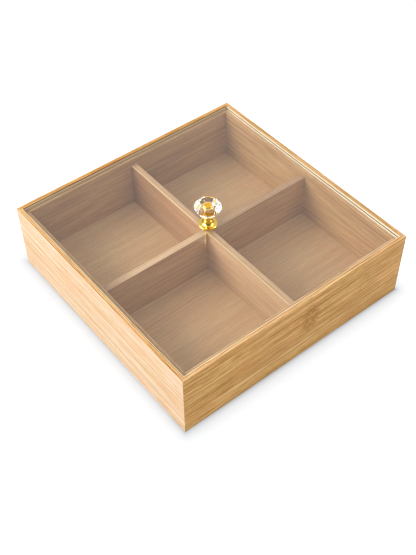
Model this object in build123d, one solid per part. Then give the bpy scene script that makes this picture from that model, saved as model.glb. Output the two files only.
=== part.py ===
from build123d import *
import os
from math import cos, pi, sin

# A square bamboo box with four open compartments under a clear lift-off lid.
# Lengths are in millimetres. X runs along the front wall, Y from front to back and Z up.
# The origin is the middle of the underside.

# Walls: four mitred boards
box_length = 250.0
box_width = 250.0
box_height = 71.0
wall_thickness = 9.0
outer_round = 0.8
inner_round = 0.4

# Rebate round the top of the walls: its floor is the seat that the lid lies on
rim_width = 4.2
seat_depth = 5.2

# Bottom panel, held in a groove on all four sides
panel_thickness = 5.0
panel_lift = 8.0
groove_depth = 4.0
panel_corner_round = 1.0

# Two dividers, halved into each other and housed in the walls
divider_thickness = 6.5
divider_drop = 5.8
divider_round = 0.7
housing_depth = 2.5
halving_share = 0.5

# Hidden splines across the four corner mitres
spline_width = 6.0
spline_thickness = 2.5
spline_height = 38.0
spline_lift = 5.0
mitre_angle = 45

# Lid plate
lid_thickness = 3.0
lid_side_gap = 0.9
lid_corner_round = 1.0
lid_edge_round = 0.3
screw_hole_diameter = 4.5

# Metal base of the knob, a flared foot with a neck
foot_diameter = 17.4
foot_edge_height = 1.1
foot_edge_round = 0.5
foot_brim = 0.9
cove_height = 4.4
neck_diameter = 7.6
neck_height = 9.4
seat_ring_diameter = 10.2
seat_ring_height = 0.5
base_height = 11.4
foot_recess_diameter = 12.0
foot_recess_depth = 1.0
recess_round = 0.3

# Cut crystal of the knob: a truncated brilliant with a flat table and a flat underside
crystal_diameter = 25.0
crystal_foot_diameter = 10.6
table_diameter = 14.6
pavilion_height = 9.4
girdle_height = 0.9
crown_height = 5.0
main_facets = 8
crown_meet_share = 0.50
pavilion_meet_share = 0.55

# Threaded insert that is glued into the crystal
insert_diameter = 8.0
insert_height = 9.5
insert_edge_round = 0.9
insert_glue_gap = 0.1
thread_depth = 7.0

# Screw and washer that hold the knob to the lid
screw_diameter = 4.0
screw_length = 20.0
screw_tip_chamfer = 0.6
screw_head_diameter = 8.0
screw_head_height = 2.4
screw_head_round = 1.4
recess_length = 4.4
recess_width = 1.0
recess_depth = 1.5
washer_diameter = 10.0
washer_thickness = 0.8
washer_hole_diameter = 4.4
washer_round = 0.2

# Clearances, the overrun of the cutting shapes and how level an edge has to lie to be found
fit_clearance = 0.1
thread_clearance = 0.05
overrun = 2.0
level_tolerance = 0.01

# Sizes and heights that follow from these
inner_length = box_length - 2 * wall_thickness
inner_width = box_width - 2 * wall_thickness
opening_length = box_length - 2 * rim_width
opening_width = box_width - 2 * rim_width
seat_level = box_height - seat_depth
floor_level = panel_lift + panel_thickness
divider_level = seat_level - divider_drop
divider_height = divider_level - floor_level
lid_level = seat_level + lid_thickness
crystal_level = lid_level + base_height
washer_level = seat_level - washer_thickness

on_floor = (Align.CENTER, Align.CENTER, Align.MIN)
from_top = (Align.CENTER, Align.CENTER, Align.MAX)


def block(length, width, height, level):
    """A box centred on the Z axis, standing on a level."""
    return Pos(0, 0, level) * Box(length, width, height, align=on_floor)


def level_edges(shape, level):
    """The edges that lie flat at one height."""
    flat = shape.edges().filter_by(lambda e: e.bounding_box().size.Z < level_tolerance)
    return flat.filter_by(lambda e: abs(e.center().Z - level) < level_tolerance)


def inside_edges(edges, length, width):
    """Those edges whose middle lies within a rectangle or on its border, seen from above."""
    reach_x = length / 2 + fit_clearance
    reach_y = width / 2 + fit_clearance
    return edges.filter_by(lambda e: abs(e.center().X) < reach_x and abs(e.center().Y) < reach_y)


def upright_edges(shape):
    """The edges that stand parallel to Z."""
    return shape.edges().filter_by(Axis.Z)


def wall_ring():
    """All four walls as one ring, with the rebate for the lid, before the mitres are sawn."""
    ring = fillet(block(box_length, box_width, box_height, 0).edges(), outer_round)
    ring -= block(inner_length, inner_width, box_height + 2 * overrun, -overrun)
    ring -= block(opening_length, opening_width, seat_depth + overrun, seat_level)
    ring = fillet(inside_edges(level_edges(ring, box_height), opening_length, opening_width), inner_round)
    return fillet(inside_edges(level_edges(ring, seat_level), inner_length, inner_width), inner_round)


def spline_places():
    """Centre and turn of the spline in each corner mitre: the middle of the mitre face."""
    across = box_length / 2 - wall_thickness / 2
    along = box_width / 2 - wall_thickness / 2
    for name, side_x, side_y in (
        ("front_left", -1, -1),
        ("front_right", 1, -1),
        ("back_right", 1, 1),
        ("back_left", -1, 1),
    ):
        yield name, side_x * across, side_y * along, -mitre_angle * side_x * side_y


def spline_shape(clearance):
    """One spline at the origin, or the slot for it when it is given a clearance."""
    return Box(
        spline_width + clearance,
        spline_thickness + clearance,
        spline_height + clearance,
        align=on_floor,
    )


def cut_wall_grooves(ring):
    """The groove for the bottom panel, the housings for the dividers and the spline slots."""
    groove_height = panel_thickness + fit_clearance
    ring -= block(
        inner_length + 2 * groove_depth, inner_width + 2 * groove_depth, groove_height, panel_lift
    )
    housing = divider_thickness + fit_clearance
    housing_height = divider_height + fit_clearance
    ring -= block(housing, inner_width + 2 * housing_depth, housing_height, floor_level)
    ring -= block(inner_length + 2 * housing_depth, housing, housing_height, floor_level)
    for _, x, y, turn in spline_places():
        ring -= Pos(x, y, floor_level + spline_lift) * Rot(0, 0, turn) * spline_shape(fit_clearance)
    return ring


def make_walls():
    """The ring sawn through its corners into four boards."""
    ring = cut_wall_grooves(wall_ring())
    half_x = box_length / 2
    half_y = box_width / 2
    outer = [(-half_x, -half_y), (half_x, -half_y), (half_x, half_y), (-half_x, half_y)]
    inner_x = half_x - wall_thickness
    inner_y = half_y - wall_thickness
    inner = [(-inner_x, -inner_y), (inner_x, -inner_y), (inner_x, inner_y), (-inner_x, inner_y)]
    walls = {}
    for k, name in enumerate(("front_wall", "right_wall", "back_wall", "left_wall")):
        after = (k + 1) % len(outer)
        outline = make_face(Polyline(outer[k], outer[after], inner[after], inner[k], close=True))
        walls[name] = ring & extrude(outline, box_height)
    return walls


def make_bottom_panel():
    """The floor of the box, loose by a hair in its groove so that the wood can move."""
    length = inner_length + 2 * (groove_depth - fit_clearance)
    width = inner_width + 2 * (groove_depth - fit_clearance)
    panel = block(length, width, panel_thickness, panel_lift)
    return fillet(upright_edges(panel), panel_corner_round)


def make_dividers():
    """The long divider is notched from below and the cross divider from above."""
    notch = divider_thickness + fit_clearance
    joint_level = floor_level + divider_height * halving_share
    ends = 2 * (housing_depth - fit_clearance)
    long_divider = block(divider_thickness, inner_width + ends, divider_height, floor_level)
    cross_divider = block(inner_length + ends, divider_thickness, divider_height, floor_level)
    long_divider = fillet(level_edges(long_divider, divider_level).filter_by(Axis.Y), divider_round)
    cross_divider = fillet(level_edges(cross_divider, divider_level).filter_by(Axis.X), divider_round)
    lower = block(notch, notch, joint_level - floor_level, floor_level)
    upper = block(notch, notch, divider_level - joint_level, joint_level)
    return long_divider - lower, cross_divider - upper


def make_splines():
    """Four hidden splines, one across each mitre."""
    return {
        f"corner_spline_{name}": Pos(x, y, floor_level + spline_lift) * Rot(0, 0, turn) * spline_shape(0)
        for name, x, y, turn in spline_places()
    }


def make_lid():
    """The clear plate, a little smaller than the opening, with a hole for the screw."""
    plate = block(
        opening_length - 2 * lid_side_gap, opening_width - 2 * lid_side_gap, lid_thickness, seat_level
    )
    plate = fillet(upright_edges(plate), lid_corner_round)
    rims = level_edges(plate, seat_level) + level_edges(plate, lid_level)
    plate = fillet(rims, lid_edge_round)
    return plate - Pos(0, 0, seat_level - overrun) * Cylinder(
        screw_hole_diameter / 2, lid_thickness + 2 * overrun, align=on_floor
    )


def make_knob_base():
    """The turned foot: a rounded brim, a hollow cove, a neck and a ring that the crystal stands on."""
    foot = foot_diameter / 2
    neck = neck_diameter / 2
    ring = seat_ring_diameter / 2
    brim = foot - foot_brim
    top = foot_edge_height + foot_edge_round
    neck_start = top + cove_height
    edge = [
        Line((0, 0), (foot, 0)),
        Line((foot, 0), (foot, foot_edge_height)),
        Spline(
            (foot, foot_edge_height),
            (brim, top),
            tangents=((0, 1), (-1, 0)),
        ),
        Spline((brim, top), (neck, neck_start), tangents=((-1, 0), (0, 1))),
        Line((neck, neck_start), (neck, neck_height)),
        Spline((neck, neck_height), (ring, base_height - seat_ring_height), tangents=((0, 1), (1, 0))),
        Line((ring, base_height - seat_ring_height), (ring, base_height)),
        Line((ring, base_height), (0, base_height)),
        Line((0, base_height), (0, 0)),
    ]
    profile = make_face(Plane.XZ * Curve(edge))
    base = revolve(profile, Axis.Z)
    hollow = Cylinder(foot_recess_diameter / 2, foot_recess_depth, align=on_floor)
    base -= fillet(level_edges(hollow, foot_recess_depth), recess_round)
    bore = screw_diameter / 2 + thread_clearance + fit_clearance
    base -= Pos(0, 0, -overrun) * Cylinder(bore, base_height + 2 * overrun, align=on_floor)
    return Pos(0, 0, lid_level) * base


def ring_point(radius, step, height):
    """A point on a ring of the crystal: step counts half spaces between main facets."""
    angle = step * pi / main_facets
    return (radius * cos(angle), radius * sin(angle), height)


def facet(*points):
    """One flat facet."""
    return Face(Wire.make_polygon([Vector(*p) for p in points], close=True))


def make_crystal():
    """The facets meet at points, so each ring of points is worked out from the two main slopes."""
    girdle = crystal_diameter / 2
    table = table_diameter / 2
    foot = crystal_foot_diameter / 2
    half = cos(pi / main_facets)
    low = pavilion_height
    high = low + girdle_height
    top = high + crown_height
    crown_slope = crown_height / (girdle - table)
    pavilion_slope = pavilion_height / (girdle - foot)
    crown_meet = table / half + (girdle - table / half) * crown_meet_share
    crown_meet_height = top - (crown_meet * half - table) * crown_slope
    lower_meet = foot / half + (girdle - foot / half) * pavilion_meet_share
    lower_meet_height = low - (girdle - lower_meet * half) * pavilion_slope

    def on_table(step):
        return ring_point(table, step, top)

    def on_crown(step):
        return ring_point(crown_meet, step, crown_meet_height)

    def on_upper_girdle(step):
        return ring_point(girdle, step, high)

    def on_lower_girdle(step):
        return ring_point(girdle, step, low)

    def on_pavilion(step):
        return ring_point(lower_meet, step, lower_meet_height)

    def on_foot(step):
        return ring_point(foot / half, step, 0)

    mains = range(0, 2 * main_facets, 2)
    facets = [
        facet(*[on_table(s) for s in mains]),
        facet(*[on_foot(s + 1) for s in mains]),
    ]
    for s in mains:
        facets.append(facet(on_table(s), on_table(s + 2), on_crown(s + 1)))
        facets.append(facet(on_table(s), on_crown(s + 1), on_upper_girdle(s), on_crown(s - 1)))
        foot_edge = (on_foot(s + 1), on_foot(s - 1))
        facets.append(facet(on_lower_girdle(s), on_pavilion(s + 1), *foot_edge, on_pavilion(s - 1)))
        for side in (1, -1):
            beside = s + side
            facets.append(facet(on_crown(beside), on_upper_girdle(s), on_upper_girdle(beside)))
            facets.append(facet(on_pavilion(beside), on_lower_girdle(s), on_lower_girdle(beside)))
            facets.append(
                facet(
                    on_upper_girdle(s), on_upper_girdle(beside), on_lower_girdle(beside), on_lower_girdle(s)
                )
            )
    crystal = Solid(Shell(facets))
    socket = Cylinder(
        insert_diameter / 2 + insert_glue_gap, insert_height + insert_glue_gap, align=on_floor
    )
    socket = fillet(level_edges(socket, insert_height + insert_glue_gap), insert_edge_round)
    return Pos(0, 0, crystal_level) * (crystal - socket)


def make_insert():
    """A rounded metal plug with a blind threaded hole, standing on the base inside the crystal."""
    insert = Cylinder(insert_diameter / 2, insert_height, align=on_floor)
    insert = fillet(level_edges(insert, insert_height), insert_edge_round)
    insert -= Cylinder(screw_diameter / 2 + thread_clearance, thread_depth, align=on_floor)
    return Pos(0, 0, crystal_level) * insert


def make_washer():
    """The flat washer between the screw head and the underside of the lid."""
    disc = Cylinder(washer_diameter / 2, washer_thickness, align=on_floor)
    disc = fillet(level_edges(disc, 0), washer_round)
    disc -= Pos(0, 0, -overrun) * Cylinder(
        washer_hole_diameter / 2, washer_thickness + 2 * overrun, align=on_floor
    )
    return Pos(0, 0, washer_level) * disc


def make_screw():
    """A pan-head screw with a cross recess, driven up through the washer, the lid and the base."""
    head = Cylinder(screw_head_diameter / 2, screw_head_height, align=from_top)
    head = fillet(level_edges(head, -screw_head_height), screw_head_round)
    for turn in (0, 90):
        bar = Box(recess_length, recess_width, recess_depth, align=on_floor)
        head -= Pos(0, 0, -screw_head_height) * Rot(0, 0, turn) * bar
    shank = Cylinder(screw_diameter / 2, screw_length, align=on_floor)
    shank = chamfer(level_edges(shank, screw_length), screw_tip_chamfer)
    return Pos(0, 0, washer_level) * (head + shank)


def all_parts():
    parts = make_walls()
    parts["bottom_panel"] = make_bottom_panel()
    parts["long_divider"], parts["cross_divider"] = make_dividers()
    parts.update(make_splines())
    parts["lid_panel"] = make_lid()
    parts["knob_base"] = make_knob_base()
    parts["knob_crystal"] = make_crystal()
    parts["knob_insert"] = make_insert()
    parts["knob_washer"] = make_washer()
    parts["knob_screw"] = make_screw()
    return parts


os.makedirs("parts", exist_ok=True)
for name, shape in all_parts().items():
    export_step(shape, f"parts/{name}.step")
    print(name, round(shape.volume))
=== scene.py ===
from math import cos, pi, radians, sin

import bmesh
import bpy
from mathutils import Matrix, Vector


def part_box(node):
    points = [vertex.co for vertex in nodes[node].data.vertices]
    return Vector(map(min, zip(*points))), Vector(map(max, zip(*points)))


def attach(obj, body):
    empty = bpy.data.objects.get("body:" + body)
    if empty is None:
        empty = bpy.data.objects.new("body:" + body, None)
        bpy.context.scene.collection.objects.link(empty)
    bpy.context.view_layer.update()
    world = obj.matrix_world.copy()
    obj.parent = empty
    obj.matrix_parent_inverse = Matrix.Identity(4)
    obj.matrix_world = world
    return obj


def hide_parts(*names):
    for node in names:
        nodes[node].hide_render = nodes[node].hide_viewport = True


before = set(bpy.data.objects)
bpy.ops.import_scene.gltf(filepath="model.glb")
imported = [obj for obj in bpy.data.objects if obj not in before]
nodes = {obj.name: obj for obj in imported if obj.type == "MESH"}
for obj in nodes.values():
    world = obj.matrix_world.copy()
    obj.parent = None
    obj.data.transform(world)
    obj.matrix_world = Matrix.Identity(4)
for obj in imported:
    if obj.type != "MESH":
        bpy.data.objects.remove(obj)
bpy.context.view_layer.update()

MM = 0.001

# The photograph's camera: the frame in pixels, then a fitted lens, direction and place
FRAME_PIXELS = (416, 555)
FOCAL_PIXELS = 902.97
CAMERA_AZIMUTH = radians(38.086)
CAMERA_ELEVATION = radians(48.061)
CAMERA_ROLL = radians(-0.768)
ORIGIN_IN_CAMERA = Vector((0.665, 2.367, 865.935)) * MM
SENSOR_WIDTH = 36.0

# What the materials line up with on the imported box: boxes in metres, then levels and sizes in millimetres
wall_low, wall_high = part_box("front_wall")
lid_low, lid_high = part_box("lid_panel")
RIM_LEVEL = wall_high.z / MM
RIM_WIDTH = 4.2
WALL = (wall_high.y - wall_low.y) / MM
HALF_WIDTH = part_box("right_wall")[1].x / MM
DIVIDER_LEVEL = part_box("long_divider")[1].z / MM
LID_BOTTOM = lid_low.z / MM
LID_LEVEL = lid_high.z / MM
LID_HALF_WIDTH = lid_high.x / MM

# The plug in the crystal, in metres: its box, the glue round it, its rounded edge, dome and thread. Where
# its outline turns by more than SHARPEST_ROUND, it has a sharp edge.
insert_low, insert_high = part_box("knob_insert")
INSERT_GLUE = 0.13 * MM
INSERT_ROUND = 0.3 * MM
INSERT_DOME = 0.35 * MM
ROUND_STEPS = 8
DOME_STEPS = 5
THREAD_RADIUS = 2.05 * MM
THREAD_DEPTH = 7.0 * MM
LATHE_STEPS = 96
SHARPEST_ROUND = radians(35)

# The plug's bands of bare metal, in millimetres below its top
BRIGHT_BANDS = ((3.6, 0.35), (9.7, 6.2))

# The axes of a board: along its fibres, across them, and the depth below its face. LOWEST and HIGHEST are
# limits past any board's height or depth.
ALONG, ACROSS, DEPTH = 0, 1, 2
LOWEST = -1
HIGHEST = 99

# Where a board's zones lie: (axis, low, high, softness). From the depth INSIDE on, a wall faces inwards.
ON_RIM = (ACROSS, RIM_LEVEL - 0.25, HIGHEST, 0.1)
ON_INNER_EDGE = (DEPTH, RIM_WIDTH - 0.5, HIGHEST, 0.1)
ON_DIVIDER_TOP = (ACROSS, DIVIDER_LEVEL - 0.4, HIGHEST, 0.2)
LOW_ON_DIVIDER = (ACROSS, LOWEST, 46, 16)
FRONT_OF_DIVIDER = (ALONG, -125, 0, 70)
BACK_OF_DIVIDER = (ALONG, 68, 200, 80)
INSIDE = WALL - 0.2

# The bamboo's joint on the front wall: along, height, half length, half height. Lines fade over LINE_END.
CULM_JOINT = (12.5, 45, 11, 19)
LINE_END = 14.0

# The wood's patterns: their sizes along the fibres, across them and into the board
DRIFT = (150, 15, 15)
BLOTCH = (38, 9, 9)
HUE = (55, 20, 20)
BROAD = (45, 3.2, 3.2)
STREAK = (300, 1.5, 1.5)
FINE = (110, 0.7, 0.7)
DASHES = (18, 0.7, 0.7)
PORES = (14, 0.7, 0.7)
FIBRE = (3.5, 0.5, 0.5)

# What bends, breaks and crosses them, in the same way: the waver of the fibres and their turns at a joint,
# each with how far it goes, the gaps in the lines and the flecks of a joint
WAVER = (170, 40, 40)
WAVER_REACH = 5.0
TURNS = (7, 4, 7)
TURNS_REACH = 14.0
GAPS = (24, 7, 7)
FLECKS = (2.1, 1.9, 2.1)

# A board's patterns are moved by its seed times these, so that no two boards are alike
SEED_STEPS = (37.0, 11.0, 5.0)

# The floor reaches 6 m each way. It glows, as a light table does, and has painted shade round the box, by
# distance
# from it: a wide soft shade, and a narrow one that is deeper to the right and the front, away from the key
# light. Each has a reach in millimetres and a depth. The painted shade's tint is cool, because the light
# from the box would turn it warm.
FLOOR_REACH = 6.0
FLOOR_GLOW = 0.88
FLOOR_TINT = (0.965, 0.985, 1.0)
SHADE_TINT = (0.945, 1.055, 1.16)
WIDE_SHADE_REACH = 12.0
WIDE_SHADE_DEPTH = 0.38
NARROW_SHADE_REACH = 2.2
NARROW_SHADE_PLACES = (-60, 60)
NARROW_SHADE_DEPTHS = (0.12, 0.35)

# The studio's brightness: (height, height, brightness at the first, brightness at the second), where height
# is 0 at the horizon and 1 overhead. The dark side has its direction, where it starts and ends, and how
# bright it is.
STUDIO_LIGHT = (0.0, 0.7, 0.70, 1.12)
STUDIO_IN_GLOSS = (0.0, 0.6, 0.4, 0.95)
STUDIO_IN_GLASS = (0.35, 0.7, 1.5, 1.1)
STUDIO_BACKDROP = 1.25
DARK_SIDE = (-0.53, -0.68, 0.50)
DARK_SIDE_SPAN = (0.70, 0.95, 1.0, 0.15)

# The lamps: place, target and size in metres, then power in watts
KEY_SOFTBOX = ((-1.25, 0.70, 0.95), (0, 0, 0.03), (1.1, 0.9), 27.0)
LEFT_CARD = ((-1.30, 0.60, 0.95), (0, 0, 0.07), (1.5, 1.1), 90.0)
RIGHT_CARD = ((1.30, -1.0, 0.95), (0, 0, 0.07), (0.35, 1.1), 25.0)


def tones(*colours, at=(0.20, 0.50, 0.80)):
    """A material's colours from its dark streaks to its light ones, and where they lie on the scale."""
    return tuple(zip(at, colours))


# The wood outside, inside and on the floor. The left board's outside is pale partly in its own tone, partly
# from painted light
OUTER = tones(
    (0.372, 0.160, 0.008), (0.494, 0.243, 0.042), (0.597, 0.315, 0.082), (0.736, 0.431, 0.158),
    at=(0.22, 0.42, 0.58, 0.80))
PALE_AND_PAINTED_LIGHT = tones(
    (0.570, 0.318, 0.145), (0.608, 0.394, 0.208), (0.640, 0.450, 0.270), (0.680, 0.528, 0.390),
    at=(0.18, 0.42, 0.58, 0.82))
INNER = tones((0.385, 0.202, 0.080), (0.494, 0.286, 0.117), (0.588, 0.357, 0.152))
FLOOR = tones((0.503, 0.300, 0.142), (0.554, 0.343, 0.167), (0.608, 0.388, 0.194), at=(0.15, 0.50, 0.85))
BARE = tones((0.300, 0.160, 0.060), (0.480, 0.300, 0.140), at=(0.25, 0.75))

# The long divider: its back half, that half's foot in painted shade, its back end in painted shade, its
# front half, lighter, and that half's foot in painted shade
ROSY = tones((0.445, 0.220, 0.094), (0.518, 0.272, 0.124), (0.600, 0.332, 0.160))
ROSY_PAINTED_LOW_SHADE = tones((0.378, 0.190, 0.083), (0.440, 0.234, 0.109), (0.510, 0.286, 0.140))
ROSY_PAINTED_SHADE = tones((0.312, 0.156, 0.064), (0.368, 0.194, 0.084), (0.438, 0.244, 0.112))
ROSY_LIGHT = tones((0.552, 0.325, 0.156), (0.632, 0.392, 0.204), (0.712, 0.460, 0.254))
ROSY_LIGHT_PAINTED_LOW_SHADE = tones((0.475, 0.272, 0.128), (0.543, 0.328, 0.168), (0.612, 0.386, 0.208))

# The tops of the dividers, the rims, the ledge under the lid and the sides of the rebate
TOP = tones((0.500, 0.300, 0.150), (0.565, 0.355, 0.190), (0.630, 0.415, 0.235))
# Painted light: the left half of the cross divider's top
TOP_PAINTED_LIGHT = tones((0.580, 0.370, 0.200), (0.700, 0.486, 0.296), at=(0.20, 0.80))
# Painted shade: the right half of the cross divider's top
TOP_PAINTED_SHADE = tones((0.385, 0.214, 0.108), (0.490, 0.298, 0.170), at=(0.20, 0.80))
RIM_LIGHT = tones((0.588, 0.342, 0.131), (0.706, 0.439, 0.194), (0.813, 0.551, 0.281), at=(0.25, 0.50, 0.75))
RIM_SIDE = tones((0.490, 0.250, 0.078), (0.635, 0.358, 0.136), (0.765, 0.475, 0.215), at=(0.25, 0.50, 0.75))
RIM_WARM = tones((0.430, 0.200, 0.045), (0.580, 0.300, 0.085), (0.720, 0.420, 0.145), at=(0.25, 0.50, 0.75))
LEDGE = tones((0.490, 0.300, 0.145), (0.640, 0.430, 0.240), at=(0.20, 0.80))
# Painted light: the pale cream on the sides of the rebates of the right and left walls, the right one facing
# the key light, and the painted highlight on the inner edge of the front and left rims
CREAM_PAINTED_LIGHT = tones((0.745, 0.660, 0.445), (0.875, 0.814, 0.620), at=(0.20, 0.80))
# Painted light: the pale peach on the side of the back's rebate, which faces away from the key light
PEACH_PAINTED_LIGHT = tones((0.860, 0.700, 0.500), (0.930, 0.800, 0.620), at=(0.20, 0.80))
# Painted shade: the slot beside the lid, and the top of the side of the back's rebate
PAINTED_SHADE = tones((0.160, 0.080, 0.028), (0.240, 0.125, 0.045), at=(0.20, 0.80))

# What goes over the wood's tones
ROSY_TINT = (1.015, 0.985, 0.98)
OLIVE_TINT = (0.985, 1.01, 1.0)
DARK_PORE = (0.42, 0.20, 0.06)
# Dark lines: the glue of strips and plies, and a painted shadow line on the back wall's ledge
GLUE_AND_PAINTED_SHADE_LINE = (0.45, 0.26, 0.12)
# Light lines: pale strips of the plies, and a painted highlight on the long divider's arris
LIGHT_AND_PAINTED_HIGHLIGHT_LINE = (0.84, 0.63, 0.34)
CULM_TINT = (0.92, 0.76, 0.45)
CULM_DARK = (0.320, 0.130, 0.004)
CULM_LIGHT = (0.700, 0.430, 0.150)

# The sheet's sawn edge, its faint painted glow, and its foot at the back, darkened with painted shade:
# colours, then how high above the sheet's bottom and how far back the foot ends and starts, in millimetres
SAWN_EDGE = (0.94, 0.87, 0.75)
SAWN_PAINTED_SHADE_FOOT = (0.56, 0.37, 0.20)
SAWN_PAINTED_GLOW = (1.0, 0.90, 0.76)
SAWN_PAINTED_GLOW_STRENGTH = 0.09
FOOT_HEIGHTS = (0.5, 1.9)
FOOT_PLACES = (108, 116)

# The metals, and the floor's own grey
FOOT_GOLD = tones((0.88, 0.55, 0.060), (0.94, 0.63, 0.100), at=(0.30, 0.70))
PLUG_GOLD = tones((0.86, 0.46, 0.010), (0.93, 0.54, 0.022), at=(0.30, 0.70))
BRIGHT_METAL = (0.95, 0.88, 0.70)
ZINC = tones((0.52, 0.52, 0.51), (0.70, 0.71, 0.72), at=(0.30, 0.70))
FLOOR_GREY = tones((0.33, 0.335, 0.345), (0.35, 0.355, 0.365), at=(0.30, 0.70))


class Shader:
    """The node tree of a material or world, built with short calls. Lengths in it are millimetres."""

    def __init__(self, owner, output="ShaderNodeOutputMaterial"):
        self.owner = owner
        owner.use_nodes = True
        self.tree = owner.node_tree
        self.tree.nodes.clear()
        self.output = self.add(output)

    def add(self, kind, **settings):
        node = self.tree.nodes.new(kind)
        for key, value in settings.items():
            setattr(node, key, value)
        return node

    def plug(self, socket, value):
        """Links a socket to another node's output, or sets its value."""
        if isinstance(value, bpy.types.NodeSocket):
            self.tree.links.new(value, socket)
        elif value is not None:
            socket.default_value = value

    def math(self, operation, a, b=None):
        node = self.add("ShaderNodeMath", operation=operation)
        self.plug(node.inputs[0], a)
        self.plug(node.inputs[1], b)
        return node.outputs[0]

    def multiply(self, value, *others):
        for other in others:
            value = self.math("MULTIPLY", value, other)
        return value

    def position(self, order="XYZ"):
        """The place on the piece in millimetres, with its axes put in the given order."""
        coordinates = self.add("ShaderNodeTexCoord").outputs["Object"]
        scaled = self.add("ShaderNodeVectorMath", operation="SCALE")
        self.plug(scaled.inputs[0], coordinates)
        scaled.inputs["Scale"].default_value = 1 / MM
        parts = self.add("ShaderNodeSeparateXYZ")
        self.plug(parts.inputs[0], scaled.outputs[0])
        return [parts.outputs[axis] for axis in order]

    def weigh(self, base, *parts):
        """The base plus each value's distance from a half, times its weight."""
        for value, weight in parts:
            base = self.math("ADD", base, self.multiply(self.math("SUBTRACT", value, 0.5), weight))
        return base

    def noise(self, place, sizes, detail=1.0, roughness=0.5):
        """A soft pattern, with its sizes along the three axes of the place."""
        point = self.add("ShaderNodeCombineXYZ")
        for socket, value, size in zip(point.inputs, place, sizes):
            self.plug(socket, self.math("DIVIDE", value, size))
        node = self.add("ShaderNodeTexNoise")
        self.plug(node.inputs["Vector"], point.outputs[0])
        node.inputs["Scale"].default_value = 1.0
        node.inputs["Detail"].default_value = detail
        node.inputs["Roughness"].default_value = roughness
        return node.outputs["Fac"]

    def span(self, value, low, high, to_low=0.0, to_high=1.0):
        """Maps low..high smoothly to to_low..to_high, held at both ends."""
        node = self.add("ShaderNodeMapRange", clamp=True, interpolation_type="SMOOTHSTEP")
        self.plug(node.inputs["Value"], value)
        node.inputs["From Min"].default_value = low
        node.inputs["From Max"].default_value = high
        node.inputs["To Min"].default_value = to_low
        node.inputs["To Max"].default_value = to_high
        return node.outputs[0]

    def ramp(self, value, stops):
        node = self.add("ShaderNodeValToRGB")
        self.plug(node.inputs[0], value)
        elements = node.color_ramp.elements
        while len(elements) < len(stops):
            elements.new(0.5)
        for element, (place, colour) in zip(elements, stops):
            element.position = place
            element.color = (*colour, 1)
        return node.outputs["Color"]

    def pick(self, amount, a, b):
        """Mixes two numbers."""
        node = self.add("ShaderNodeMix")
        for socket, value in zip((node.inputs[0], node.inputs[2], node.inputs[3]), (amount, a, b)):
            self.plug(socket, value)
        return node.outputs[0]

    def blend(self, amount, a, b, mode="MIX"):
        """Mixes two colours."""
        node = self.add("ShaderNodeMix", data_type="RGBA", blend_type=mode)
        self.plug(node.inputs[0], amount)
        for socket, value in ((node.inputs[6], a), (node.inputs[7], b)):
            self.plug(socket, (*value, 1) if isinstance(value, tuple) else value)
        return node.outputs[2]

    def bump(self, height, distance, strength):
        node = self.add("ShaderNodeBump")
        self.plug(node.inputs["Height"], height)
        node.inputs["Distance"].default_value = distance * MM
        node.inputs["Strength"].default_value = strength
        return node.outputs[0]

    def principled(self, **values):
        """A surface whose inputs are given by name, as base_color for Base Color."""
        node = self.add("ShaderNodeBsdfPrincipled")
        for key, value in values.items():
            name = key.replace("_", " ").title().replace("Ior", "IOR")
            self.plug(node.inputs[name], (*value, 1) if isinstance(value, tuple) else value)
        return node.outputs[0]

    def mix(self, amount, a, b):
        """Mixes two surfaces."""
        node = self.add("ShaderNodeMixShader")
        self.plug(node.inputs[0], amount)
        self.plug(node.inputs[1], a)
        self.plug(node.inputs[2], b)
        return node.outputs[0]

    def finish(self, surface):
        self.plug(self.output.inputs["Surface"], surface)
        return self.owner


def near(s, value, place, width):
    """1 where a value is within a quarter of a width of a place, falling smoothly to 0 at the width."""
    away = s.math("ABSOLUTE", s.math("SUBTRACT", value, place))
    return s.span(away, 0.25 * width, width, 1.0, 0.0)


def between(s, value, low, high, softness):
    """1 between two places, with soft ends."""
    half = softness / 2
    rise = s.span(value, low - half, low + half)
    fall = s.span(value, high - half, high + half, 1.0, 0.0)
    return s.multiply(rise, fall)


def culm_patch(s, place, middle, height, half_length, half_height):
    """How far a place lies inside the oval of a culm's joint, 1 at its middle."""
    x = s.math("DIVIDE", s.math("SUBTRACT", place[ALONG], middle), half_length)
    y = s.math("DIVIDE", s.math("SUBTRACT", place[ACROSS], height), half_height)
    away = s.math("ADD", s.multiply(x, x), s.multiply(y, y))
    return s.span(away, 0.3, 1.1, 1.0, 0.0)


def lay_grain(s, place, seed, patches):
    """The place along the board's own fibres, which waver a little and turn at a culm's joint."""
    grain = [s.math("ADD", value, seed * step) for value, step in zip(place, SEED_STEPS)]
    grain[ACROSS] = s.weigh(grain[ACROSS], (s.noise(grain, WAVER), WAVER_REACH))
    for patch in patches:
        turn = s.weigh(0.0, (s.noise(place, TURNS), TURNS_REACH))
        grain[ACROSS] = s.math("ADD", grain[ACROSS], s.multiply(patch, turn))
    return grain


def wood_tone(s, grain, fine, dashes, fibre, depth, calm_from):
    """Where the wood lies between its dark and light tones. From the depth calm_from on, its streaks are
    broader and softer."""
    drift = s.noise(grain, DRIFT)
    blotch = s.noise(grain, BLOTCH)
    streak = s.noise(grain, STREAK, 2.0, 0.6)
    tone = s.weigh(
        0.5, (drift, 0.3), (blotch, 0.2), (streak, 0.8), (fine, 0.55), (dashes, 0.4), (fibre, 1.0))
    if calm_from is None:
        return tone
    broad = s.noise(grain, BROAD)
    calm = s.weigh(0.5, (drift, 0.3), (blotch, 0.2), (broad, 0.9), (streak, 0.25), (fibre, 0.4))
    return s.pick(s.span(depth, calm_from - 0.1, calm_from + 0.1), tone, calm)


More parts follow.
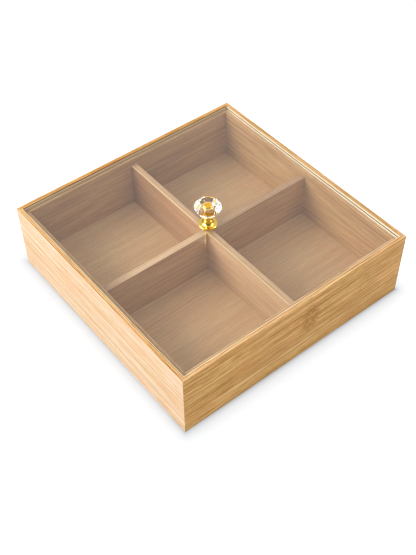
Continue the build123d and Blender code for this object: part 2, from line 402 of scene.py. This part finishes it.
def paint_zones(s, colour, tone, place, zones):
    """Gives each zone of a board its own tones, later zones over earlier ones."""
    for zone_tones, *limits in zones:
        inside = s.multiply(*(between(s, place[axis], *limit) for axis, *limit in limits))
        colour = s.blend(inside, colour, s.ramp(tone, zone_tones))
    return colour


def draw_lines(s, colour, relief, place, grain, lines):
    """Draws lines, dark and sunk, or light where the strength is below zero: the joints of strips and plies,
    and some painted light, as the painted shadow on the back wall's ledge and the painted highlight on the
    long divider's arris.
    """
    broken = s.span(s.noise(grain, GAPS, 2.0), 0.35, 0.55, 0.45, 1.0)
    for axis, middle, half_width, strength, *ends in lines:
        line = s.multiply(near(s, place[axis], middle, half_width), broken, abs(strength))
        if ends:
            line = s.multiply(line, between(s, place[ALONG], *ends, LINE_END))
        if strength > 0:
            colour = s.blend(line, colour, GLUE_AND_PAINTED_SHADE_LINE, "MULTIPLY")
            relief = s.math("SUBTRACT", relief, line)
        else:
            colour = s.blend(line, colour, LIGHT_AND_PAINTED_HIGHLIGHT_LINE)
    return colour, relief


def culm_flecks(s, colour, place, patch):
    """The dark and light flecks of a culm's joint, where the fibres turn."""
    flecks = s.noise(place, FLECKS)
    dark = s.multiply(patch, s.span(flecks, 0.49, 0.56, 0.0, 1.0))
    light = s.multiply(patch, s.span(flecks, 0.34, 0.44, 0.5, 0.0))
    colour = s.blend(s.multiply(patch, 0.6), colour, CULM_TINT, "MULTIPLY")
    colour = s.blend(dark, colour, CULM_DARK)
    return s.blend(light, colour, CULM_LIGHT)


def bamboo(
        name, order, seed, own_tones, face=None, zones=(), lines=(), culms=(), pitting=0.25, calm_from=None):
    """Laminated bamboo under a thin satin finish. The first axis of the order runs along the fibres, the
    second across the board and the third into it. With a face, the third is the depth below that face.
    A zone is its tones and then (axis, low, high, softness) for each axis that bounds it. A line is (axis,
    place, half width, strength) and maybe its two ends along the fibres. A culm is where its joint shows,
    as CULM_JOINT, and pitting is how dark the open pores are. From the depth calm_from on, the streaks are
    broader and softer."""
    s = Shader(bpy.data.materials.new(name))
    place = s.position(order)
    if face is not None:
        outward = s.multiply(place[DEPTH], 1.0 if face > 0 else -1.0)
        place[DEPTH] = s.math("SUBTRACT", abs(face), outward)
    patches = [culm_patch(s, place, *culm) for culm in culms]
    grain = lay_grain(s, place, seed, patches)
    fine = s.span(s.noise(grain, FINE), 0.32, 0.68)
    dashes = s.span(s.noise(grain, DASHES), 0.32, 0.68)
    fibre = s.noise(grain, FIBRE)
    pores = s.span(s.noise(grain, PORES), 0.60, 0.72)
    hue = s.span(s.noise(grain, HUE), 0.35, 0.65)
    tone = wood_tone(s, grain, fine, dashes, fibre, place[DEPTH], calm_from)
    colour = paint_zones(s, s.ramp(tone, own_tones), tone, place, zones)
    colour = s.blend(1.0, colour, s.blend(hue, ROSY_TINT, OLIVE_TINT), "MULTIPLY")
    colour = s.blend(s.multiply(pores, pitting), colour, DARK_PORE, "MULTIPLY")
    relief = s.weigh(0.0, (fibre, 0.5), (fine, 0.2), (dashes, 0.2), (pores, -pitting))
    colour, relief = draw_lines(s, colour, relief, place, grain, lines)
    for patch in patches:
        colour = culm_flecks(s, colour, place, patch)
    surface = s.principled(
        base_color=colour,
        roughness=s.span(fibre, 0.3, 0.7, 0.42, 0.58),
        ior=1.5,
        specular_ior_level=0.22,
        coat_weight=0.03,
        coat_roughness=0.3,
        normal=s.bump(relief, 0.05, 0.5),
    )
    return s.finish(surface)


def let_light_through(s, glass, tint):
    """Glass to the eye, and a clear filter to the light that falls through it."""
    path = s.add("ShaderNodeLightPath")
    clear = s.add("ShaderNodeBsdfTransparent")
    clear.inputs["Color"].default_value = (*tint, 1)
    passing = s.math("MAXIMUM", path.outputs["Is Shadow Ray"], path.outputs["Is Diffuse Ray"])
    return s.mix(passing, glass, clear.outputs[0])


def clear_sheet():
    """The polished clear plate with sawn edges, which have a faint painted glow in place of the light that
    the plate carries to them, and painted shade on the foot of the back edge. Light reaches the compartments
    straight through it."""
    s = Shader(bpy.data.materials.new("clear_sheet"))
    place = s.position()
    smear = s.noise(place, (60, 60, 60), 2.0)
    glass = s.principled(
        base_color=(0.985, 0.99, 0.985),
        transmission_weight=1.0,
        ior=1.49,
        roughness=s.span(smear, 0.45, 0.7, 0.0, 0.015),
        specular_tint=(0.0, 0.0, 0.0),
        coat_weight=1.0,
        coat_roughness=0.32,
    )
    out = s.math("MAXIMUM", s.math("ABSOLUTE", place[0]), s.math("ABSOLUTE", place[1]))
    sawn = s.span(out, LID_HALF_WIDTH - 0.12, LID_HALF_WIDTH - 0.02)
    marks = s.noise(place, (0.5, 0.5, 2.0), 2.0)
    # The foot of the back edge gets painted shade and loses the painted glow.
    low = s.span(place[2], *(LID_BOTTOM + height for height in FOOT_HEIGHTS), 1.0, 0.0)
    at_back = s.span(place[1], *FOOT_PLACES)
    foot = s.multiply(low, at_back)
    frosted = s.principled(
        base_color=s.blend(foot, SAWN_EDGE, SAWN_PAINTED_SHADE_FOOT),
        transmission_weight=0.25,
        roughness=s.span(marks, 0.3, 0.7, 0.45, 0.65),
        emission_color=SAWN_PAINTED_GLOW,
        emission_strength=s.span(foot, 0.0, 1.0, SAWN_PAINTED_GLOW_STRENGTH, 0.0),
        normal=s.bump(marks, 0.03, 0.6),
    )
    clear = let_light_through(s, glass, (0.97, 0.975, 0.97))
    return s.finish(s.mix(sawn, clear, frosted))


def cut_crystal():
    """Cut crystal: bright, clear and hard-edged."""
    s = Shader(bpy.data.materials.new("cut_crystal"))
    smear = s.noise(s.position(), (3, 3, 3), 2.0)
    glass = s.principled(
        base_color=(1.0, 1.0, 1.0),
        specular_tint=(0.0, 0.0, 0.0),
        transmission_weight=1.0,
        ior=1.56,
        roughness=s.span(smear, 0.5, 0.75, 0.0, 0.01),
    )
    return s.finish(let_light_through(s, glass, (0.9, 0.9, 0.9)))


def polished_gold(name, own_tones, roughness, coat, bright_bands=()):
    """Gold plating over turned brass, with the faint rings that turning leaves. A bright band, (low, high),
    is bare polished metal."""
    s = Shader(bpy.data.materials.new(name))
    place = s.position()
    cloud = s.noise(place, (2.5, 2.5, 2.5), 3.0)
    rings = s.noise((0.0, 0.0, place[2]), (1, 1, 0.12), 2.0)
    colour = s.ramp(cloud, own_tones)
    for low, high in bright_bands:
        colour = s.blend(between(s, place[2], low, high, 0.3), colour, BRIGHT_METAL)
    surface = s.principled(
        base_color=colour,
        metallic=1.0,
        coat_weight=coat,
        coat_roughness=0.1,
        roughness=s.span(cloud, 0.3, 0.7, *roughness),
        normal=s.bump(rings, 0.01, 0.4),
    )
    return s.finish(surface)


def plated_steel():
    """Bright zinc on the screw and washer."""
    s = Shader(bpy.data.materials.new("plated_steel"))
    place = s.position()
    cloud = s.noise(place, (1.5, 1.5, 1.5), 3.0)
    grit = s.noise(place, (0.4, 0.4, 0.4), 2.0)
    surface = s.principled(
        base_color=s.ramp(cloud, ZINC),
        metallic=1.0,
        roughness=s.span(cloud, 0.3, 0.7, 0.22, 0.36),
        normal=s.bump(grit, 0.01, 0.4),
    )
    return s.finish(surface)


def pale_floor():
    """The floor's even glow, less two painted shades by distance from the box."""
    s = Shader(bpy.data.materials.new("pale_floor"))
    place = s.position()
    cloud = s.noise(place, (300, 300, 300), 2.0)
    out = [s.math("MAXIMUM", s.math("SUBTRACT", s.math("ABSOLUTE", v), HALF_WIDTH), 0.0) for v in place[:2]]
    away = s.math("SQRT", s.math("ADD", s.math("POWER", out[0], 2.0), s.math("POWER", out[1], 2.0)))
    wide = s.math("EXPONENT", s.math("DIVIDE", away, -WIDE_SHADE_REACH))
    narrow = s.math("EXPONENT", s.math("DIVIDE", away, -NARROW_SHADE_REACH))
    depth = s.span(s.math("SUBTRACT", place[0], place[1]), *NARROW_SHADE_PLACES, *NARROW_SHADE_DEPTHS)
    shaded = s.math("ADD", s.multiply(wide, WIDE_SHADE_DEPTH), s.multiply(narrow, depth))
    surface = s.principled(
        base_color=s.ramp(cloud, FLOOR_GREY),
        roughness=0.9,
        specular_ior_level=0.1,
        emission_color=s.blend(shaded, FLOOR_TINT, SHADE_TINT),
        emission_strength=s.multiply(s.math("SUBTRACT", 1.0, shaded), FLOOR_GLOW),
    )
    return s.finish(surface)


def dress(node, material):
    """Gives a CAD node its material."""
    mesh = nodes[node].data
    mesh.materials.clear()
    mesh.materials.append(material)


def wall_zones(outside, rim, beside_lid):
    """The zones of a wall: what lies lower than the lid's top, the outside, the ledge that carries the lid,
    the strip of it beside the lid, the inside, and the rim. The beside_lid tones, lower than the lid's top
    and on that strip, are painted shade in the slot beside the lid on every wall but the back. What they
    leave is the side of the rebate above the lid."""
    ledge = RIM_WIDTH + 0.2
    return [
        (beside_lid, (ACROSS, LOWEST, LID_LEVEL - 0.2, 0.4)),
        (outside, (DEPTH, LOWEST, RIM_WIDTH - 0.2, 0.1)),
        (LEDGE, (DEPTH, ledge, HIGHEST, 0.1)),
        (beside_lid, (DEPTH, ledge, ledge + 0.8, 0.2)),
        (INNER, (DEPTH, INSIDE, HIGHEST, 0.1)),
        (rim, ON_RIM),
    ]


def dress_walls():
    """Each wall is its own board of bamboo, with its plies and with light and shade painted in: a painted
    highlight on the inner edge of the front and left rims, pale painted light on the sides of the rebates of
    the right, back and left walls, and painted shade in the slot beside the lid on the front, right and left
    walls and along the top of the back's rebate.
    """
    painted_rim_highlight = (CREAM_PAINTED_LIGHT, ON_RIM, ON_INNER_EDGE)
    ply = (DEPTH, 2.9, 0.5, 0.5)
    dress("front_wall", bamboo(
        "bamboo_front", "XZY", 1, INNER, -HALF_WIDTH,
        # A painted highlight on the inner edge of the rim, over the front wall's left part
        zones=wall_zones(OUTER, RIM_LIGHT, PAINTED_SHADE) + [(*painted_rim_highlight, (ALONG, -130, 10, 40))],
        lines=[
            (DEPTH, 1.1, 0.4, 0.15),
            (DEPTH, 2.8, 0.6, 0.85),
            (ACROSS, 25.5, 3.0, 0.3, -75, 8),
            (ACROSS, 21.0, 0.8, 0.6, 16, 74),
            (ACROSS, 17.0, 1.0, -0.8, -92, 60),
        ],
        culms=[CULM_JOINT],
        calm_from=INSIDE,
    ))
    # The right wall's cream own tone is painted light on the side of its rebate, which faces the key light.
    dress("right_wall", bamboo(
        "bamboo_right", "YZX", 2, CREAM_PAINTED_LIGHT, HALF_WIDTH,
        zones=wall_zones(OUTER, RIM_SIDE, PAINTED_SHADE),
        lines=[
            ply,
            (DEPTH, 7.2, 1.0, 0.35),
            (ACROSS, 22, 0.6, 0.5),
            (ACROSS, 60, 0.9, 0.6),
        ],
        calm_from=INSIDE,
    ))
    # Painted shade along the top of the side of the back's rebate
    painted_shade_atop_rebate = (PAINTED_SHADE, (ACROSS, RIM_LEVEL - 1.1, HIGHEST, 0.2))
    # Painted shade on the inner end of the back wall's ledge, in the tone of the divider's shaded back end
    painted_shade_end_of_ledge = (ROSY_PAINTED_SHADE, (DEPTH, 7.8, 8.95, 0.2))
    # The back wall's peach own tone is pale painted light on the side of its rebate.
    dress("back_wall", bamboo(
        "bamboo_back", "XZY", 3, PEACH_PAINTED_LIGHT, HALF_WIDTH,
        zones=[painted_shade_atop_rebate] + wall_zones(OUTER, RIM_WARM, LEDGE) + [painted_shade_end_of_ledge],
        lines=[
            ply,
            (DEPTH, 1.2, 0.35, 0.4),
            # A painted shadow on the ledge, beside the side of the rebate
            (DEPTH, 5.2, 0.8, 0.35),
            (ACROSS, 47, 0.6, 0.5),
        ],
        calm_from=INSIDE,
    ))
    # The left wall's outside is pale partly from painted light.
    dress("left_wall", bamboo(
        "bamboo_left", "YZX", 4, CREAM_PAINTED_LIGHT, -HALF_WIDTH,
        # A painted highlight on the inner edge of the rim; the cream own tone is pale painted light on the
        # side of the rebate
        zones=wall_zones(PALE_AND_PAINTED_LIGHT, RIM_SIDE, PAINTED_SHADE) + [painted_rim_highlight],
        lines=[
            (DEPTH, 0.7, 0.5, 0.65),
            (DEPTH, 2.0, 0.5, -0.4, -130, 5),
            (DEPTH, 3.1, 0.4, 0.35),
            (DEPTH, 7.15, 0.45, 0.5),
            (ACROSS, 18, 0.6, 0.3),
        ],
        calm_from=INSIDE,
    ))


def dress_inside():
    """The bottom panel, the two dividers and the splines that lie hidden in the corners. The dividers have
    calm streaks all through, so their calm_from lies outside them."""
    dress("bottom_panel", bamboo(
        "bamboo_bottom", "XYZ", 5, FLOOR,
        lines=[(ACROSS, y, 0.6, 0.3) for y in (-75, -25, 25, 75)],
        pitting=0.1,
    ))
    dress("long_divider", bamboo(
        "bamboo_long_divider", "YZX", 6, ROSY,
        # The long divider's foot and back end are painted shade; its front half is lighter.
        zones=[
            (ROSY_PAINTED_LOW_SHADE, LOW_ON_DIVIDER),
            (ROSY_LIGHT, FRONT_OF_DIVIDER),
            (ROSY_LIGHT_PAINTED_LOW_SHADE, FRONT_OF_DIVIDER, LOW_ON_DIVIDER),
            (ROSY_PAINTED_SHADE, BACK_OF_DIVIDER),
            (TOP, ON_DIVIDER_TOP),
        ],
        # The light line at -2.6 is a painted highlight on the top's arris toward the key light
        lines=[(DEPTH, -0.7, 0.5, 0.6), (DEPTH, 1.6, 0.5, 0.5), (DEPTH, -2.6, 0.5, -0.5)],
        pitting=0.1,
        calm_from=-9,
    ))
    dress("cross_divider", bamboo(
        "bamboo_cross_divider", "XZY", 7, INNER,
        # Painted shade on the right half of the top, painted light on its left half
        zones=[(TOP_PAINTED_SHADE, ON_DIVIDER_TOP), (TOP_PAINTED_LIGHT, ON_DIVIDER_TOP, (ALONG, -90, 0, 30))],
        lines=[(DEPTH, -1.4, 0.5, 0.5), (DEPTH, 1.6, 0.5, 0.5)],
        pitting=0.1,
        calm_from=-9,
    ))
    bare = bamboo("bamboo_spline", "ZXY", 8, BARE)
    for name in nodes:
        if name.startswith("corner_spline"):
            dress(name, bare)


def add_mesh(name, bm):
    """Puts a bmesh into the scene as an object."""
    mesh = bpy.data.meshes.new(name)
    bm.to_mesh(mesh)
    bm.free()
    piece = bpy.data.objects.new(name, mesh)
    bpy.context.scene.collection.objects.link(piece)
    return piece


def lathe(name, profile, base):
    """A solid of revolution round the knob's axis. The profile is a closed loop of (radius, height)."""
    bm = bmesh.new()
    rings = []
    for radius, height in profile:
        z = base + height
        if radius == 0:
            rings.append([bm.verts.new((0, 0, z))])
            continue
        turns = [2 * pi * step / LATHE_STEPS for step in range(LATHE_STEPS)]
        rings.append([bm.verts.new((radius * cos(t), radius * sin(t), z)) for t in turns])
    for low, high in zip(rings, rings[1:] + rings[:1]):
        for step in range(LATHE_STEPS):
            after = (step + 1) % LATHE_STEPS
            around = ((low, step), (low, after), (high, after), (high, step))
            corners = list(dict.fromkeys(ring[turn % len(ring)] for ring, turn in around))
            if len(corners) > 2:
                bm.faces.new(corners)
    bmesh.ops.recalc_face_normals(bm, faces=bm.faces)
    for face in bm.faces:
        face.smooth = True
    for edge in bm.edges:
        if edge.calc_face_angle(0) > SHARPEST_ROUND:
            edge.smooth = False
    return add_mesh(name, bm)


def insert_profile():
    """The outline of the plug in the crystal. It fills the socket up to the glass, as its glue does, so it
    shows through the stone."""
    radius = (insert_high.x - insert_low.x) / 2 + INSERT_GLUE
    height = insert_high.z - insert_low.z + INSERT_GLUE
    profile = [(THREAD_RADIUS, 0.0), (radius, 0.0)]
    for step in range(ROUND_STEPS + 1):
        turn = radians(90 * step / ROUND_STEPS)
        out = radius - INSERT_ROUND + INSERT_ROUND * cos(turn)
        up = height - INSERT_ROUND - INSERT_DOME + INSERT_ROUND * sin(turn)
        profile.append((out, up))
    for step in range(1, DOME_STEPS + 1):
        share = 1 - step / DOME_STEPS
        profile.append(((radius - INSERT_ROUND) * share, height - INSERT_DOME * share ** 2))
    profile += [(0.0, THREAD_DEPTH), (THREAD_RADIUS, THREAD_DEPTH)]
    return profile


def make_insert():
    """The plug, in place of the CAD's plainer one, with two bands of bare metal that light the stone."""
    top = insert_high.z / MM
    bright_bands = [(top - low, top - high) for low, high in BRIGHT_BANDS]
    insert = lathe("crystal_insert", insert_profile(), insert_low.z)
    insert.data.materials.append(
        polished_gold("polished_gold_plug", PLUG_GOLD, (0.05, 0.11), 0.2, bright_bands))
    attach(insert, "lid")
    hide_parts("knob_insert")
    return insert


def dress_lid():
    """The clear sheet, and the knob with its screw and washer."""
    steel = plated_steel()
    dress("lid_panel", clear_sheet())
    dress("knob_crystal", cut_crystal())
    dress("knob_base", polished_gold("polished_gold", FOOT_GOLD, (0.14, 0.22), 1.0))
    dress("knob_washer", steel)
    dress("knob_screw", steel)


def make_floor():
    """A plain pale floor, far larger than the view."""
    bm = bmesh.new()
    corners = ((-1, -1), (1, -1), (1, 1), (-1, 1))
    bm.faces.new([bm.verts.new((x * FLOOR_REACH, y * FLOOR_REACH, wall_low.z)) for x, y in corners])
    floor = add_mesh("floor", bm)
    floor.data.materials.append(pale_floor())


def make_world():
    """A bright studio, white overhead and a little darker towards the horizon. Gloss shows a darker horizon
    and the dark side of the room, where the photographer stands, and glass the white cards set low round it.
    Past the floor the camera sees a plain white backdrop."""
    world = bpy.data.worlds.new("studio")
    bpy.context.scene.world = world
    s = Shader(world, "ShaderNodeOutputWorld")
    direction = s.add("ShaderNodeTexCoord").outputs["Generated"]
    parts = s.add("ShaderNodeSeparateXYZ")
    s.plug(parts.inputs[0], direction)
    height = parts.outputs["Z"]
    toward = s.add("ShaderNodeVectorMath", operation="DOT_PRODUCT")
    s.plug(toward.inputs[0], direction)
    toward.inputs[1].default_value = DARK_SIDE
    dark = s.span(toward.outputs["Value"], *DARK_SIDE_SPAN)
    path = s.add("ShaderNodeLightPath")
    in_gloss = s.multiply(s.span(height, *STUDIO_IN_GLOSS), dark)
    in_glass = s.span(height, *STUDIO_IN_GLASS)
    strength = s.pick(path.outputs["Is Glossy Ray"], s.span(height, *STUDIO_LIGHT), in_gloss)
    strength = s.pick(path.outputs["Is Transmission Ray"], strength, in_glass)
    strength = s.pick(path.outputs["Is Camera Ray"], strength, STUDIO_BACKDROP)
    background = s.add("ShaderNodeBackground")
    s.plug(background.inputs["Strength"], strength)
    s.finish(background.outputs[0])


def add_lamp(name, place, target, size, power, pieces):
    """A rectangle of light that shines on the given pieces only."""
    light = bpy.data.lights.new(name, "AREA")
    light.shape = "RECTANGLE"
    light.size, light.size_y = size
    light.energy = power
    lamp = bpy.data.objects.new(name, light)
    bpy.context.scene.collection.objects.link(lamp)
    lamp.location = place
    lamp.rotation_mode = "QUATERNION"
    lamp.rotation_quaternion = (Vector(target) - Vector(place)).to_track_quat("-Z", "Y")
    lit = bpy.data.collections.new(f"lit_by_{name}")
    for piece in pieces:
        lit.objects.link(piece)
    lamp.light_linking.receiver_collection = lit


def make_lights(insert):
    """One large softbox to the left and a little behind, with the floor lit by the studio alone, and two
    bright cards that show as stripes in the gold of the knob."""
    knob = [nodes["knob_base"], nodes["knob_crystal"], insert]
    add_lamp("key_softbox", *KEY_SOFTBOX, list(nodes.values()) + [insert])
    add_lamp("left_card", *LEFT_CARD, knob)
    add_lamp("right_card", *RIGHT_CARD, knob)


def set_light_paths():
    """Light turns often inside cut stone before it comes out, and would end dark with fewer bounces. The
    pixel filter is a little narrower than usual, because the photograph is crisp."""
    cycles = bpy.context.scene.cycles
    cycles.max_bounces = 24
    cycles.glossy_bounces = 16
    cycles.transmission_bounces = 16
    cycles.filter_width = 1.1


def make_camera():
    """The camera that the photograph's corners give. It has no shift."""
    forward = Vector((
        sin(CAMERA_AZIMUTH) * cos(CAMERA_ELEVATION),
        cos(CAMERA_AZIMUTH) * cos(CAMERA_ELEVATION),
        -sin(CAMERA_ELEVATION),
    ))
    level = Vector((cos(CAMERA_AZIMUTH), -sin(CAMERA_AZIMUTH), 0))
    upward = level.cross(forward)
    right = cos(CAMERA_ROLL) * level + sin(CAMERA_ROLL) * upward
    up = cos(CAMERA_ROLL) * upward - sin(CAMERA_ROLL) * level
    turn = Matrix((right, up, forward)).transposed()
    data = bpy.data.cameras.new("camera")
    data.sensor_width = SENSOR_WIDTH
    data.lens = FOCAL_PIXELS * SENSOR_WIDTH / max(FRAME_PIXELS)
    data.clip_start = 0.01
    camera = bpy.data.objects.new("camera", data)
    bpy.context.scene.collection.objects.link(camera)
    place = -(turn @ ORIGIN_IN_CAMERA)
    camera.matrix_world = Matrix.Translation(place) @ Matrix((right, up, -forward)).transposed().to_4x4()
    bpy.context.scene.camera = camera


bpy.context.scene.view_settings.view_transform = "Standard"
set_light_paths()
make_camera()
make_world()
make_floor()
dress_walls()
dress_inside()
dress_lid()
make_lights(make_insert())
